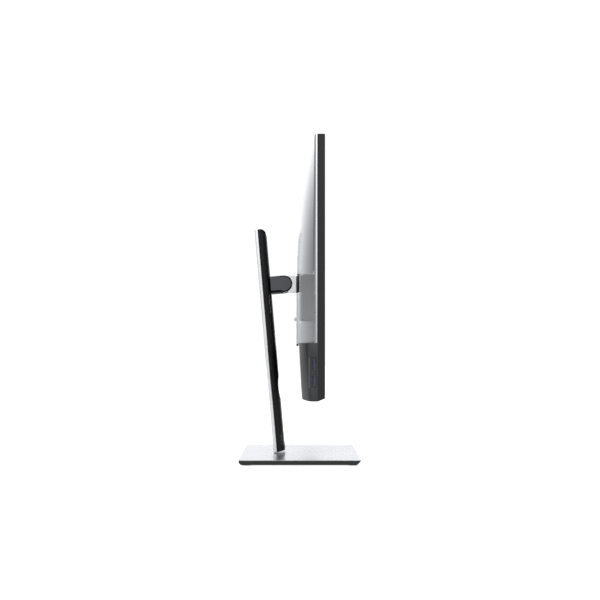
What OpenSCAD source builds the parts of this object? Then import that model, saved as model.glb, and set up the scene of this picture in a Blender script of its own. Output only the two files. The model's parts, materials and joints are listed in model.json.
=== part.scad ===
// Computer monitor on a height-adjustable stand, built from its separate pieces.
// Millimetres. Origin: centre of the base footprint, on the desk. +Z up.
// The screen faces -Y and the viewer's right is +X.

/* [Panel] */
// Overall width of the panel
panel_w = 611.3; // [500:0.1:740]
// Overall height of the panel
panel_h = 355.4; // [290:0.1:430]
// Height of the panel's lower edge above the desk
panel_lift = 102.1; // [84:0.1:125]
// Depth of the dark bezel band round the sides
bezel_depth = 9.8; // [8:0.1:14]
// Depth of the bright rim strip behind the bezel
rim_depth = 2.7; // [2:0.1:5]
// Rise of the crowned rear cover behind the rim strip
crown_rise = 25.7; // [24:0.1:34]
// Straight edge of the rear cover before the crown starts
crown_edge = 1.5; // [1:0.1:4]
// Distance over which the crown rises from the top edge
crown_run_top = 230; // [120:1:240]
// Distance over which the crown rises from each side edge
crown_run_side = 110; // [60:1:200]
// Wall of the moulded covers
cover_wall = 2.2; // [1.5:0.1:2.6]

/* [Screen] */
// Width of the bezel lip at the top and sides
lip_w = 2.4; // [2:0.1:5]
// Height of the bezel lip along the bottom
chin_lip = 10; // [8:0.1:16]
// Thickness of the bezel's front lip
lip_t = 1.5; // [1:0.1:2.5]
// Wall of the bezel's side band
bezel_wall = 1.4; // [1:0.1:2]
// Thickness of the glass display cell
cell_t = 2; // [1.4:0.1:2.6]
// Thickness of the light guide and diffuser sheets
stack_t = 3; // [2:0.1:3.6]

/* [Lower cover] */
// Height of the dark lower cover up to the seam
lower_h = 77.9; // [70:0.1:95]
// Depth of the flat of the lower cover's side behind the bezel, at its foot
lower_side = 6; // [5:0.1:8]
// Depth of the lower cover at its centre, at its foot
lower_depth = 20.5; // [18:0.1:24]
// Backward lean of the lower cover's rear face
lower_lean = 2.86; // [0:0.01:4]
// Height of the front bevel of the chin
chin_bevel = 4; // [2:0.1:6]
// Flat width of the lower cover's underside
chin_flat = 7.7; // [7.5:0.1:8.5]
// Rise of the underside behind its flat, up to the rear face
chin_rise = 1.9; // [1:0.1:4]
// Width of the connector bay
bay_w = 236; // [232:1:300]
// Height of the upright part of the connector bay
bay_h = 38; // [30:1:45]

/* [Stand] */
// Width of the riser
riser_w = 62; // [58:0.5:84]
// Thickness of the riser, front to back
riser_t = 17.1; // [16.5:0.1:22]
// Thickness of the silver rear cover of the riser
riser_back_t = 5.4; // [4.8:0.1:7]
// Backward lean of the riser in degrees
lean = 4.95; // [0:0.05:8]
// Height of the riser above the tilt axis
riser_top = 87.7; // [86:0.1:110]
// Travel below the resting height
travel_down = 63; // [30:1:66]
// Travel above the resting height
travel_up = 67; // [30:1:67]
// Distance of the swivel axis behind the centre of the base
swivel_y = 31.6; // [15:0.1:40]

/* [Arm and head] */
// Distance from the tilt axis to the riser's front face
arm_reach = 21.3; // [20:0.1:30]
// Radius of the arm's round nose, which is half its height
nose_r = 12.8; // [11:0.1:14]
// Half width of the arm over its side caps
arm_half = 29.5; // [26:0.5:30]
// Distance from the tilt axis to the crown of the rear cover
head_reach = 19.9; // [18.5:0.1:26]
// Drop of the tilt axis below the middle of the panel
axis_drop = 6; // [0:0.1:10]
// Radius of the tilt shaft
shaft_r = 4; // [3:0.1:5]
// Radius of the pivot spindle
pivot_r = 6; // [5:0.1:8]
// Spacing of the wall-mount holes, a fixed standard
vesa = 100; // [75, 100]
// Radius of the threaded wall-mount holes
vesa_r = 2; // [1.5:0.1:2.5]

/* [Base] */
// Width of the base
base_w = 280; // [230:1:340]
// Depth of the base, front to back
base_d = 180; // [150:1:220]
// Thickness of the base above its feet
base_t = 7; // [6:0.1:10]
// Height of the rubber feet
foot_h = 1.2; // [1:0.1:3]
// Radius of the swivel spindle
swivel_r = 6; // [4.6:0.1:6.2]

/* [Ports and buttons] */
// Opening of a USB port, long side
usb_w = 12.5; // [12.5]
// Opening of a USB port, short side
usb_h = 5.1; // [5.1]
// Distance between the middles of the two side USB ports
usb_pitch = 21.4; // [20:0.1:24]
// Height of the lower side USB port above the panel's lower edge
usb_rise = 27.7; // [26:0.1:32]
// Length of each menu button
button_w = 10; // [8:0.1:12]
// Distance between neighbouring menu buttons
button_pitch = 16; // [15:0.1:20]

/* [Hidden] */

$fn = 48;
slip = 0.3;          // gap between pieces that move past each other
fit = 0.05;          // radial play of a shaft in its hole
skin = 0.1;          // gap between neighbouring pieces of one assembly

// Heights and depths that everything else hangs on
base_h = foot_h + base_t;
panel_t = bezel_depth + rim_depth + crown_rise;
panel_top = panel_lift + panel_h;
seam_z = panel_lift + lower_h;
axis_z = panel_lift + panel_h / 2 - axis_drop;
riser_mid = arm_reach + riser_t / 2;
axis_y = swivel_y - (riser_mid - (axis_z - base_h) * sin(lean)) / cos(lean);
back_y = axis_y - head_reach;
front_y = back_y - panel_t;
bezel_back = front_y + bezel_depth;
rim_back = bezel_back + rim_depth;
side_x = panel_w / 2;

// ---------- outlines and placing ----------

// Rounded rectangle about its centre
function corner(cx, cy, r, from) = [for (i = [0:6]) [cx + r * cos(from + 15 * i), cy + r * sin(from + 15 * i)]];
function rounded(w, d, r) = concat(corner(w / 2 - r, d / 2 - r, r, 0), corner(r - w / 2, d / 2 - r, r, 90),
    corner(r - w / 2, r - d / 2, r, 180), corner(w / 2 - r, r - d / 2, r, 270));
module rounded_rect(w, d, r) polygon(rounded(w, d, r));

// Outline in Y and Z, extruded along X about x
module along_x(x, length) translate([x - length / 2, 0, 0]) rotate([90, 0, 90]) linear_extrude(length) children();
// Outline in X and Z, extruded from y0 to y1
module along_y(y0, y1) translate([0, y1, 0]) rotate([90, 0, 0]) linear_extrude(y1 - y0) children();
// Round bar along X or Y
module bar_x(r, x0, x1) translate([x0, 0, 0]) rotate([0, 90, 0]) cylinder(r = r, h = x1 - x0);
module bar_y(r, y0, y1) translate([0, y0, 0]) rotate([-90, 0, 0]) cylinder(r = r, h = y1 - y0);
// Block between two corners
module block(a, b) translate(a) cube(b - a);
module both_sides() { children(); mirror([1, 0, 0]) children(); }

// The tilt axis, square to the desk and square to the leaning riser
module at_axis() translate([0, axis_y, axis_z]) children();
module along_riser() at_axis() rotate([-lean, 0, 0]) children();

// ---------- base ----------

base_corner = 3;
base_bevel = 5.5;
skin_t = 0.8;
tray_wall = 2;
steel_z = foot_h + tray_wall - 0.3;
steel_top = base_h - skin_t;
steel_inset = 7;
bush_r = swivel_r + 2;
retainer_r = 24;
well_r = retainer_r + 2;
base_screw_r = 2;
pad_w = 30;
pad_d = 11.7;
pad_inset = 5.65;

module at_swivel() translate([0, swivel_y, 0]) children();
module base_screw_places() for (x = [-1, 1], y = [-1, 1])
    translate([x * (base_w / 2 - 45), y * (base_d / 2 - 30), 0]) children();

module base_top_skin() color([0.86, 0.87, 0.88]) difference() {
    translate([0, 0, steel_top]) linear_extrude(skin_t) rounded_rect(base_w, base_d, base_corner);
    at_swivel() cylinder(r = bush_r, h = base_h + 1);
}

module base_steel_plate() color([0.45, 0.46, 0.48]) difference() {
    translate([0, 0, steel_z]) linear_extrude(steel_top - steel_z)
        rounded_rect(base_w - 2 * steel_inset - 2 * skin, base_d - 2 * steel_inset - 2 * skin, base_corner);
    at_swivel() cylinder(r = bush_r, h = base_h);
    base_screw_places() cylinder(r = base_screw_r, h = steel_z + 3);
}

// Dark tray: bevelled along the front, rounded along the back
tray_front = -base_d / 2;
tray_outline = concat(
    [[tray_front, steel_top], [tray_front, steel_top - 0.6], [tray_front + base_bevel, foot_h]],
    [for (a = [0:15:90]) [base_d / 2 - base_bevel + base_bevel * sin(a),
        foot_h + base_bevel * (1 - cos(a))]],
    [[base_d / 2, steel_top]]);

module base_tray() color([0.16, 0.16, 0.17]) difference() {
    intersection() {
        along_x(0, base_w) polygon(tray_outline);
        linear_extrude(base_h) rounded_rect(base_w, base_d, base_corner);
    }
    translate([0, 0, steel_z]) linear_extrude(base_h)
        rounded_rect(base_w - 2 * steel_inset, base_d - 2 * steel_inset, base_corner);
    at_swivel() cylinder(r = well_r, h = base_h);
    base_screw_places() cylinder(r = base_screw_r + 0.3, h = base_h);
    base_screw_places() cylinder(r = base_screw_r + 2, h = foot_h + 0.9);
}

module rubber_feet() color([0.1, 0.1, 0.1]) for (x = [-1, 1], y = [-1, 1])
    translate([x * (base_w / 2 - 22), y * (base_d / 2 - pad_inset - pad_d / 2), 0])
        linear_extrude(foot_h) rounded_rect(pad_w, pad_d, 3);

module swivel_bush() color([0.82, 0.82, 0.78]) at_swivel() difference() {
    translate([0, 0, steel_z]) cylinder(r = bush_r - 0.02, h = base_h - steel_z);
    cylinder(r = swivel_r + fit, h = base_h + 1);
}

module base_screws() color([0.3, 0.3, 0.32]) base_screw_places() {
    translate([0, 0, foot_h + 0.1]) cylinder(r = base_screw_r + 1.7, h = 0.8);
    translate([0, 0, foot_h + 0.1]) cylinder(r = base_screw_r - 0.02, h = steel_z + 2.8 - foot_h);
}

// ---------- swivel and foot of the riser ----------

retainer_t = 1;
retainer_z = steel_z - 0.1 - retainer_t;
pad_z = base_h + slip;
shoulder_z = pad_z + 0.7;
spindle_top = pad_z + 3.2;
thumb_r = 3;

module swivel_spindle() color([0.62, 0.63, 0.65]) at_swivel() difference() {
    union() {
        translate([0, 0, retainer_z + retainer_t]) cylinder(r = swivel_r, h = shoulder_z - retainer_z - retainer_t);
        translate([0, 0, shoulder_z - 1]) cylinder(r = thumb_r + 1.5, h = spindle_top - shoulder_z + 1);
    }
    cylinder(r = thumb_r + fit, h = 60);
}

module swivel_retainer() color([0.62, 0.63, 0.65]) at_swivel() difference() {
    translate([0, 0, retainer_z]) cylinder(r = retainer_r, h = retainer_t);
    cylinder(r = thumb_r + fit, h = 60);
}

// Outline of the riser in plan: wide flat back, rounded front corners
front_round = 9;
function riser_plan(inset) = concat(
    [[riser_w / 2 - inset, arm_reach + riser_t], [inset - riser_w / 2, arm_reach + riser_t]],
    [for (a = [180:15:270]) [front_round - riser_w / 2 + (front_round - inset) * cos(a),
        arm_reach + front_round + (front_round - inset) * sin(a)]],
    [for (a = [270:15:360]) [riser_w / 2 - front_round + (front_round - inset) * cos(a),
        arm_reach + front_round + (front_round - inset) * sin(a)]]);

foot_rise = 5.3;
foot_gap = 0.4;
pad_in = 8;
riser_low = -(axis_z - base_h - 2.2) / cos(lean) + riser_mid * tan(lean) + 0.6;
riser_len = riser_top - riser_low;

// The bar of the riser between two heights, cut back by an inset
module riser_bar(z0, z1, inset) along_riser() translate([0, 0, z0]) linear_extrude(z1 - z0)
    polygon(riser_plan(inset));

module foot_pad() color([0.8, 0.8, 0.82]) difference() {
    intersection() {
        translate([-riser_w, -base_d, pad_z]) cube([2 * riser_w, 2 * base_d, 40]);
        along_riser() block([side_wall + pad_in - riser_w / 2, wall_in + skin, riser_low - 8],
            [riser_w / 2 - side_wall - pad_in, back_in - skin, riser_low - skin / 2]);
    }
    at_swivel() cylinder(r = swivel_r + skin, h = 60);
}

casting_h = 26;

// Solid casting in the foot: joins the spindle to the spine and takes the thumbscrew
module foot_casting() color([0.5, 0.51, 0.53]) difference() {
    intersection() {
        along_riser() block([3.6 - riser_w / 2, wall_in, riser_low], [riser_w / 2 - 3.6, spine_y, riser_low + casting_h]);
        translate([-riser_w, -base_d, spindle_top]) cube([2 * riser_w, 2 * base_d, 60]);
    }
    at_swivel() cylinder(r = thumb_r + fit, h = 60);
}

module base_thumbscrew() color([0.7, 0.71, 0.73]) at_swivel() {
    difference() {
        translate([0, 0, 0.4]) cylinder(r = 9, h = retainer_z - 0.4);
        translate([-6, -0.75, 0]) cube([12, 1.5, 1]);
    }
    translate([0, 0, 0.4 + 0.7]) cylinder(r = thumb_r, h = 22);
}

// ---------- riser ----------

front_wall = 3.2;
side_wall = 2;
wall_in = arm_reach + front_wall;                 // inner face of the front cover
split_y = arm_reach + riser_t - riser_back_t;     // seam between the dark and the silver cover
back_in = arm_reach + riser_t - side_wall;
spine_t = 2;
spine_y = back_in - 2 * skin - spine_t;
neck_half = 16;
slot_half = neck_half + 1;
slot_low = -travel_down - nose_r - 0.7;
slot_high = travel_up + nose_r + 0.7;
hole_half = 19;
hole_low = (90 - axis_z) / cos(lean) + riser_mid * tan(lean);
hole_high = hole_low + 38;
hole_mid = (hole_low + hole_high) / 2;
scoop_depth = 2;
scoop_r = (pow((hole_high - hole_low) / 2, 2) + pow(scoop_depth, 2)) / (2 * scoop_depth);
top_round = 8;

// Cable hole, straight through from front to back
module cable_hole(grow) translate([0, 0, hole_mid]) along_y(arm_reach - 5, arm_reach + riser_t + 5)
    rounded_rect(2 * (hole_half + grow), hole_high - hole_low + 2 * grow, 9 + grow);

// Rounds off the front top edge
module top_round_cut() difference() {
    block([-riser_w, arm_reach - 1, riser_top - top_round], [riser_w, arm_reach + top_round, riser_top + 1]);
    translate([0, arm_reach + top_round, riser_top - top_round]) bar_x(top_round, -2 * riser_w, 2 * riser_w);
}

// Flare of the front cover where it meets the base
flare = 0.6;
flare_h = 10;
module foot_flare() along_riser() intersection() {
    translate([0, 0, riser_low]) linear_extrude(flare_h) polygon(riser_plan(-flare));
    along_x(0, 2 * riser_w) polygon([[arm_reach - flare, riser_low], [split_y, riser_low],
        [split_y, riser_low + flare_h], [arm_reach, riser_low + flare_h], [arm_reach - flare, riser_low + flare_h - 2]]);
}

// Both covers end a little above the base, and the front rises away from it
foot_back = swivel_y + riser_t / 2 + 1;
module foot_cut() along_x(0, 2 * riser_w) polygon([[foot_back + riser_t, 0], [foot_back + riser_t, base_h + foot_gap],
    [foot_back, base_h + foot_gap], [foot_back - riser_t - 1, base_h + foot_rise], [0, base_h + foot_rise], [0, 0]]);

module riser_front_cover() color([0.13, 0.13, 0.14]) difference() {
    union() {
        riser_bar(riser_low - 4, riser_top, 0);
        foot_flare();
    }
    foot_cut();
    along_riser() {
        block([-riser_w, split_y, riser_low - 5], [riser_w, split_y + riser_t, riser_top + 1]);
        block([side_wall - riser_w / 2, wall_in, riser_low - 5], [riser_w / 2 - side_wall, split_y + 1, riser_top - side_wall]);
        block([-slot_half, arm_reach - 5, slot_low], [slot_half, split_y, slot_high]);
        cable_hole(liner_t + skin);
        translate([0, arm_reach + scoop_depth - scoop_r, hole_mid]) bar_x(scoop_r, -riser_w, riser_w);
        top_round_cut();
    }
}

module riser_back_cover() color([0.86, 0.87, 0.88]) difference() {
    riser_bar(riser_low - 4, riser_top, 0);
    foot_cut();
    along_riser() {
        block([-riser_w, 0, riser_low - 5], [riser_w, split_y + skin, riser_top + 1]);
        block([side_wall - riser_w / 2, split_y - 1, riser_low - 5], [riser_w / 2 - side_wall, back_in, riser_top - side_wall]);
        cable_hole(liner_t + skin);
    }
}

spine_half = riser_w / 2 - side_wall - 3;
module riser_spine() color([0.55, 0.56, 0.58]) along_riser() difference() {
    block([-spine_half, spine_y + skin, riser_low + 4], [spine_half, spine_y + skin + spine_t, riser_top - side_wall - 1]);
    block([-hole_half - 3, spine_y - 1, hole_low - 3], [hole_half + 3, back_in + 1, hole_high + 3]);
    for (z = screw_levels) translate([0, 0, z]) bar_y(1.6, spine_y - 1, back_in + 1);
}

liner_t = 1.4;
module cable_liner() color([0.2, 0.2, 0.21]) along_riser() difference() {
    intersection() {
        cable_hole(liner_t);
        block([-riser_w, arm_reach + scoop_depth + 0.3, hole_low - 5], [riser_w, arm_reach + riser_t - 0.3, hole_high + 5]);
    }
    cable_hole(0);
}

// ---------- lift ----------

rod_r = 2.5;
rod_x = riser_w / 2 - side_wall - 8;
rod_y = (wall_in + split_y) / 2;
bush_out = 3.6;
bush_len = 14;
end_t = 5;
carriage_up = riser_top - side_wall - end_t - 0.6 - travel_up;
carriage_down = -44;
end_high = riser_top - side_wall - end_t;
end_low = carriage_down - travel_down - 1 - end_t;
carriage_half = rod_x + bush_out + 1.4;
carriage_front = wall_in + slip;
carriage_back = split_y - 0.3;
band_half = 6;
roll_r = 3.2;
roll_z = carriage_up - 7;

module at_rods() for (x = [-1, 1]) translate([x * rod_x, rod_y, 0]) children();

module guide_rods() color([0.78, 0.79, 0.8]) along_riser() at_rods()
    translate([0, 0, end_low]) cylinder(r = rod_r, h = riser_top - side_wall - end_low);

module rod_blocks() color([0.3, 0.31, 0.33]) along_riser() for (z = [end_low, end_high]) difference() {
    block([-carriage_half, carriage_front, z], [carriage_half, spine_y + skin, z + end_t]);
    at_rods() translate([0, 0, z - 1]) cylinder(r = rod_r + 0.02, h = end_t + 2);
    if (z == end_high) block([-band_half - 1, band_y - 0.6, z - 1], [band_half + 1, band_y + 1, z + end_t - 2]);
}

module carriage_block() color([0.42, 0.43, 0.45]) along_riser() difference() {
    block([-carriage_half, carriage_front, carriage_down], [carriage_half, carriage_back, carriage_up]);
    at_rods() translate([0, 0, carriage_down - 1]) cylinder(r = rod_r + 1, h = carriage_up - carriage_down + 2);
    for (z = [carriage_down, carriage_up - bush_len]) at_rods() translate([0, 0, z - 0.01])
        cylinder(r = bush_out, h = bush_len + 0.02);
    block([-band_half - 2, carriage_front - 1, roll_z - roll_r - 1], [band_half + 2, carriage_back + 1, carriage_up + 1]);
    for (x = [-9, 9], z = [-32, -24]) translate([x, 0, z]) bar_y(1.5, wall_in - 1, carriage_back + 1);
}

module slide_bushes() color([0.9, 0.9, 0.86]) along_riser()
    for (z = [carriage_down, carriage_up - bush_len]) at_rods() translate([0, 0, z]) difference() {
        cylinder(r = bush_out - 0.02, h = bush_len);
        translate([0, 0, -1]) cylinder(r = rod_r + fit, h = bush_len + 2);
    }

// The flat steel band runs from its roll in the carriage to the upper block
band_y = rod_y + roll_r;
module lift_spring_roll() color([0.7, 0.71, 0.72]) along_riser()
    translate([0, rod_y, roll_z]) bar_x(roll_r, -band_half, band_half);

module lift_spring_band() color([0.7, 0.71, 0.72]) along_riser()
    block([-band_half, band_y + 0.05, roll_z], [band_half, band_y + 0.25, end_high + end_t - 2.5]);

screw_levels = [riser_low + 12, end_low + end_t / 2, end_high + end_t / 2];
module riser_screws() color([0.3, 0.3, 0.32]) along_riser() for (z = screw_levels) translate([0, 0, z])
    bar_y(1.45, spine_y + skin + 0.05, back_in - 0.05);

// ---------- arm ----------

cheek_in = 14.2;
core_half = arm_half - 1.5;
arm_back = arm_reach - 0.5;
knuckle_r = nose_r - 0.6;
well_r2 = nose_r + 0.8;

module nose_outline(r, back, low, high) {
    circle(r = r);
    polygon([[0, -low], [back, -low], [back, high], [0, high]]);
}

module arm_core() color([0.08, 0.08, 0.09]) along_riser() difference() {
    union() {
        bar_x(nose_r, -core_half, core_half);
        block([-core_half, 0, -nose_r], [core_half, arm_back, nose_r]);
        block([-neck_half, arm_back - 1, -nose_r + 1], [neck_half, carriage_front, nose_r - 1]);
        block([-neck_half, arm_back - 1, -nose_r + 1], [neck_half, carriage_front, -nose_r + 4]);
    }
    block([-cheek_in, -nose_r - 1, -nose_r - 1], [cheek_in, 0, nose_r + 1]);
    bar_x(well_r2, -cheek_in, cheek_in);
    bar_x(shaft_r + fit, -core_half - 1, core_half + 1);
}

// Flush along the top, set back round the nose and along the bottom
cap_inset = 1.7;
module arm_side_caps() color([0.33, 0.33, 0.35]) along_riser() both_sides()
    along_x((core_half + arm_half) / 2, arm_half - core_half) union() {
        circle(r = nose_r - cap_inset);
        polygon([[0, cap_inset * 2 - nose_r], [arm_back, cap_inset * 2 - nose_r], [arm_back, nose_r],
            [0, nose_r - cap_inset]]);
    }

washer_t = 0.6;
module tilt_washers() color([0.75, 0.72, 0.6]) along_riser() both_sides() difference() {
    bar_x(nose_r - 3, cheek_in - washer_t, cheek_in);
    bar_x(shaft_r + fit, 0, core_half);
}

// ---------- head ----------

knuckle_half = cheek_in - washer_t - 0.1;
head_half = 26;
head_top = nose_r - 0.2;
head_low = -nose_r + 1.2;
hub_r = 13.4;
hub_back = back_y + 0.6;
hub_front = back_y - 4.4;
head_front_y = hub_back - axis_y;
nose_gap = 0.5;

module tilt_shaft() color([0.78, 0.79, 0.8]) at_axis() bar_x(shaft_r, -core_half + 0.3, core_half - 0.3);

// Silver casting: a knuckle between the arm's cheeks, and a cover hollowed round the nose
module tilt_head() color([0.84, 0.85, 0.86]) at_axis() difference() {
    union() {
        bar_x(knuckle_r, -knuckle_half, knuckle_half);
        block([-knuckle_half, head_front_y, -9], [knuckle_half, -2, 9]);
        difference() {
            along_x(0, 2 * head_half) polygon([[head_front_y, head_low], [head_front_y + 2, head_low - 1],
                [-5.4, head_low], [-5.4, head_top], [head_front_y + 1, head_top], [head_front_y, head_top - 1]]);
            for (x = [-1, 1]) translate([x * (head_half + cheek_in - 0.7) / 2, 0, 0])
                bar_x(nose_r + nose_gap, -(head_half - cheek_in + 2) / 2, (head_half - cheek_in + 2) / 2);
            bar_x(nose_r + nose_gap, -cheek_in, cheek_in);
        }
    }
    bar_x(shaft_r + 0.01, -head_half, head_half);
    bar_y(pivot_r - 1.5, head_front_y - 1, head_front_y + 5);
}

// Dark hub between the head and the bracket, with the pivot spindle
bracket_t = 4.2;
bracket_back = hub_front - slip;
bracket_front = bracket_back - bracket_t;
frame_t = 2;
nut_t = 1.6;
module pivot_hub() color([0.14, 0.14, 0.15]) at_axis() translate([0, -axis_y, 0]) union() {
    bar_y(hub_r, hub_front, hub_back);
    bar_y(pivot_r, bracket_front - nut_t - slip, hub_front + 1);
    bar_y(pivot_r - 1.55, hub_back - 1, hub_back + 4.5);
}

module pivot_nut() color([0.7, 0.71, 0.73]) at_axis() translate([0, -axis_y, 0]) difference() {
    bar_y(pivot_r + 3.5, bracket_front - nut_t - slip + 0.05, bracket_front - slip);
    bar_y(pivot_r + 0.01, bracket_front - 5, bracket_front + 5);
}

// ---------- panel front ----------

cell_front = front_y + lip_t + skin;
stack_front = cell_front + cell_t + skin;
chassis_front = stack_front + stack_t + skin;
chassis_t = 1;
chassis_back = chassis_front + chassis_t;
lens_x = side_x - 22;
lens_z = panel_lift + chin_bevel + 2.6;

module front_bezel() color([0.2, 0.2, 0.21]) difference() {
    along_x(0, panel_w) polygon([[front_y, panel_lift + chin_bevel], [front_y, panel_top - 0.8],
        [front_y + 0.8, panel_top], [bezel_back, panel_top], [bezel_back, panel_lift]]);
    // Window of the screen
    block([lip_w - side_x, front_y - 1, panel_lift + chin_lip], [side_x - lip_w, bezel_back + 1, panel_top - lip_w]);
    // Pocket of the display module
    block([bezel_wall - side_x, front_y + lip_t, panel_lift + chin_bevel + 1.5],
        [side_x - bezel_wall, bezel_back + 1, panel_top - bezel_wall]);
    translate([lens_x, 0, lens_z]) block([-2.5, front_y - 1, -0.75], [2.5, front_y + 5, 0.75]);
}

module sheet(y0, y1, inset, low) block([inset - side_x, y0, panel_lift + low], [side_x - inset, y1, panel_top - inset]);

module lcd_cell() color([0.03, 0.03, 0.035]) sheet(cell_front, cell_front + cell_t, bezel_wall + skin, chin_bevel + 1.6);
module light_guide() color([0.9, 0.92, 0.95]) sheet(stack_front, stack_front + stack_t, bezel_wall + 0.6, chin_bevel + 5.2);
module led_bar() color([0.9, 0.88, 0.7]) block([12 - side_x, stack_front, panel_lift + chin_bevel + 1.8],
    [side_x - 12, stack_front + stack_t, panel_lift + chin_bevel + 5]);
module rear_chassis() color([0.7, 0.71, 0.72]) sheet(chassis_front, chassis_back, bezel_wall + skin, chin_bevel + 1.6);

module power_lens() color([0.9, 0.9, 0.92]) translate([lens_x, 0, lens_z])
    block([-2.4, front_y + 0.05, -0.65], [2.4, front_y + lip_t, 0.65]);

// ---------- panel back ----------

crown_steps = 12;
crown_power = 2.6;
// Height of the crown at a distance from the edge, as a share of its rise
function crown(d, run) = 1 - pow(1 - min(d / run, 1), crown_power);
function crown_y(d, run, inset) = rim_back + crown_edge + (crown_rise - crown_edge) * crown(d, run) - inset;
lip_drop = 3.6;

// Side view and plan of the crowned cover, cut back by an inset
function crown_side(inset, low) = concat([[rim_back - 1, low], [rim_back - 1, panel_top - inset]],
    [for (i = [0:crown_steps]) let (v = crown_run_top * pow(i / crown_steps, 1.4))
        [crown_y(v, crown_run_top, inset), panel_top - max(v, inset)]],
    [[back_y - inset, low]]);
function crown_plan(inset) = concat([[side_x - inset, rim_back - 1]],
    [for (i = [0:crown_steps]) let (u = crown_run_side * pow(i / crown_steps, 1.4))
        [side_x - max(u, inset), crown_y(u, crown_run_side, inset)]],
    [for (i = [crown_steps:-1:0]) let (u = crown_run_side * pow(i / crown_steps, 1.4))
        [max(u, inset) - side_x, crown_y(u, crown_run_side, inset)]],
    [[inset - side_x, rim_back - 1]]);

module crowned(inset, low) intersection() {
    along_x(0, panel_w) polygon(crown_side(inset, low));
    translate([0, 0, low]) linear_extrude(panel_top - low) polygon(crown_plan(inset));
}

recess_half = 35;
recess_low = axis_z - 48;
recess_high = axis_z + hub_r + 0.4;
recess_mid = (recess_low + recess_high) / 2;
button_z = axis_z - 55.5;
release_half = 8;
release_r = 3.25;

// Band across the cover: a channel beside the hub, and below it a flank that meets the crown
band_floor = bracket_back + skin;
band_edge = rim_back + crown_edge;
band_flat = 40;
band_slope = 0.56;
band_low = button_z - release_r - 0.4;
band_split = axis_z - hub_r - 1.2;
band_fall = [4, 16];
channel_ledge = 24;
flank_ledge = 14;

// What the cover loses between two outlines, behind a line that climbs from a ledge up to a floor
module band_zone(outline, ledge, floor_y, grow) intersection() {
    along_y(rim_back - 5, back_y + 1) polygon(outline);
    translate([0, -grow, seam_z]) linear_extrude(panel_h) polygon([[side_x + 1, band_edge], [side_x + 1, back_y + 9],
        [-side_x - 1, back_y + 9], [-side_x - 1, band_edge], [ledge - side_x, band_edge],
        [ledge - side_x + (floor_y - band_edge) / band_slope, floor_y],
        [side_x - ledge - (floor_y - band_edge) / band_slope, floor_y], [side_x - ledge, band_edge]]);
}
module band_cut(grow) {
    band_zone([[-side_x - 1, band_split - grow], [side_x + 1, band_split - grow],
        [side_x + 1, recess_high - band_fall[1] + grow], [band_flat, recess_high + grow],
        [-band_flat, recess_high + grow], [-side_x - 1, recess_high - band_fall[1] + grow]],
        channel_ledge, band_floor, grow);
    band_zone([[-side_x - 1, band_low - band_fall[0] - grow], [-band_flat, band_low - grow], [band_flat, band_low - grow],
        [side_x + 1, band_low - band_fall[0] - grow], [side_x + 1, band_split + 1], [-side_x - 1, band_split + 1]],
        flank_ledge, back_y + 3, grow);
}

module rear_cover() color([0.8, 0.81, 0.82]) difference() {
    crowned(0, seam_z - lip_drop);
    block([-side_x - 1, rim_back - 3, seam_z - lip_drop - 1], [side_x + 1, rim_back, panel_top + 1]);
    difference() {
        crowned(cover_wall, seam_z - lip_drop - 1);
        band_cut(cover_wall);
    }
    band_cut(0);
    block([-side_x - 1, rim_back - 1, seam_z - lip_drop - 1], [side_x + 1, back_y - cover_wall - 0.8, seam_z]);
    translate([0, 0, recess_mid]) along_y(bracket_front, back_y + 1)
        rounded_rect(2 * recess_half, recess_high - recess_low, 5);
    translate([0, 0, button_z]) along_y(back_y - 12, back_y + 1)
        rounded_rect(2 * release_half + 0.7, 2 * release_r + 0.7, 0.6);
    vesa_places() bar_y(5.5, back_y - 12, back_y + 1);
}

// Bright strip on three sides, between the bezel and the rear cover
rim_wall = 2.4;
module rim_trim() color([0.93, 0.94, 0.95]) difference() {
    block([-side_x, bezel_back, seam_z], [side_x, rim_back, panel_top]);
    block([rim_wall - side_x, bezel_back - 1, seam_z - 1], [side_x - rim_wall, rim_back + 1, panel_top - rim_wall]);
}

// ---------- lower cover ----------

bay_floor = bezel_back + 6.6;
bay_low = seam_z - bay_h;
ramp_low = bay_low - 20;
bay_wall = 1.6;
usb_y = bezel_back + 5.1;
recess_depth = 3;
recess_front = usb_y - 3.6;
recess_rear = usb_y + 5.1;
usb_z = [panel_lift + usb_rise, panel_lift + usb_rise + usb_pitch];
side_recess_low = usb_z[0] - 9.8;
side_recess_high = usb_z[1] + 9.8;
button_y = bezel_back + 3.9;
button_d = 4.4;
button_x = [for (i = [0:3]) side_x - 130 + i * button_pitch];
power_x = button_x[3] + 24;

// Half plan of the rear face: flat side, a round turn, then an easy curve towards the middle
lower_round = 7;
lower_turn = 66;
lower_run = 36;
lower_steps = 8;
turn_u = lower_round * (1 - cos(lower_turn));
turn_y = lower_side + lower_round * sin(lower_turn);
lower_line = concat([for (a = [0:11:lower_turn]) [lower_round * (1 - cos(a)), lower_side + lower_round * sin(a)]],
    [for (i = [1:lower_steps]) [turn_u + lower_run * i / lower_steps,
        turn_y + (lower_depth - turn_y) * (1 - pow(1 - i / lower_steps, 2))]]);
function lower_half(inset) = [for (p = lower_line) [side_x - max(p[0], inset), p[1] - inset]];
function lower_plan(inset) = let (half = lower_half(inset)) concat([[side_x - inset, -lower_side]], half,
    [for (i = [len(half) - 1:-1:0]) [-half[i][0], half[i][1]]], [[inset - side_x, -lower_side]]);

// The plan, extruded upwards along the leaning rear face
module lower_solid(inset) intersection() {
    translate([0, bezel_back, panel_lift]) rotate([-lower_lean, 0, 0])
        translate([0, 0, -20]) linear_extrude(lower_h + 40) polygon(lower_plan(inset));
    along_x(0, panel_w) polygon(concat([[bezel_back - inset, panel_lift + inset]],
        [for (i = [0:5]) [bezel_back + chin_flat + (lower_depth - chin_flat) * i / 5,
            panel_lift + inset + chin_rise * pow(i / 5, 1.6)]],
        [[back_y, panel_lift + inset + chin_rise], [back_y, seam_z + inset - 0.2],
            [bezel_back - inset, seam_z + inset - 0.2]]));
}

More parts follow.
